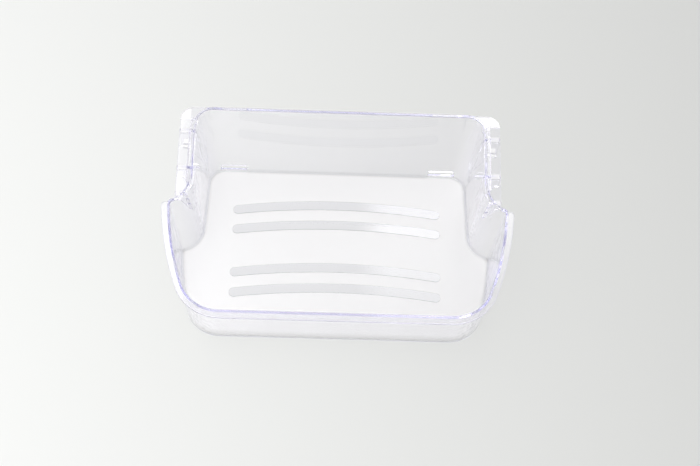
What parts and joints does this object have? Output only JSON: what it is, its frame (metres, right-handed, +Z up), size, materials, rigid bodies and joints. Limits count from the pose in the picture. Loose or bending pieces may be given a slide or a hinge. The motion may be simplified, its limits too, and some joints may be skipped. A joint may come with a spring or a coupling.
{
  "type": "fridge door shelf",
  "caption": "Clear one-piece fridge door shelf: an open bin with a frosted floor, a wide front pocket edged by a flat lip, and ribbed side ledges that hang on the door.",
  "frame": {"origin": "centre of the plan's box, on the underside of the floor", "axes": "+Z up out of the open bin, +Y from the front lip to the back wall, +X across the bin"},
  "size_m": [0.3404, 0.209, 0.124],
  "materials": {
    "clear_plastic": "clear polished walls, frosted floor with polished stripes"
  },
  "bodies": {
    "root": {"door_shelf": "clear_plastic"}
  },
  "joints": []
}
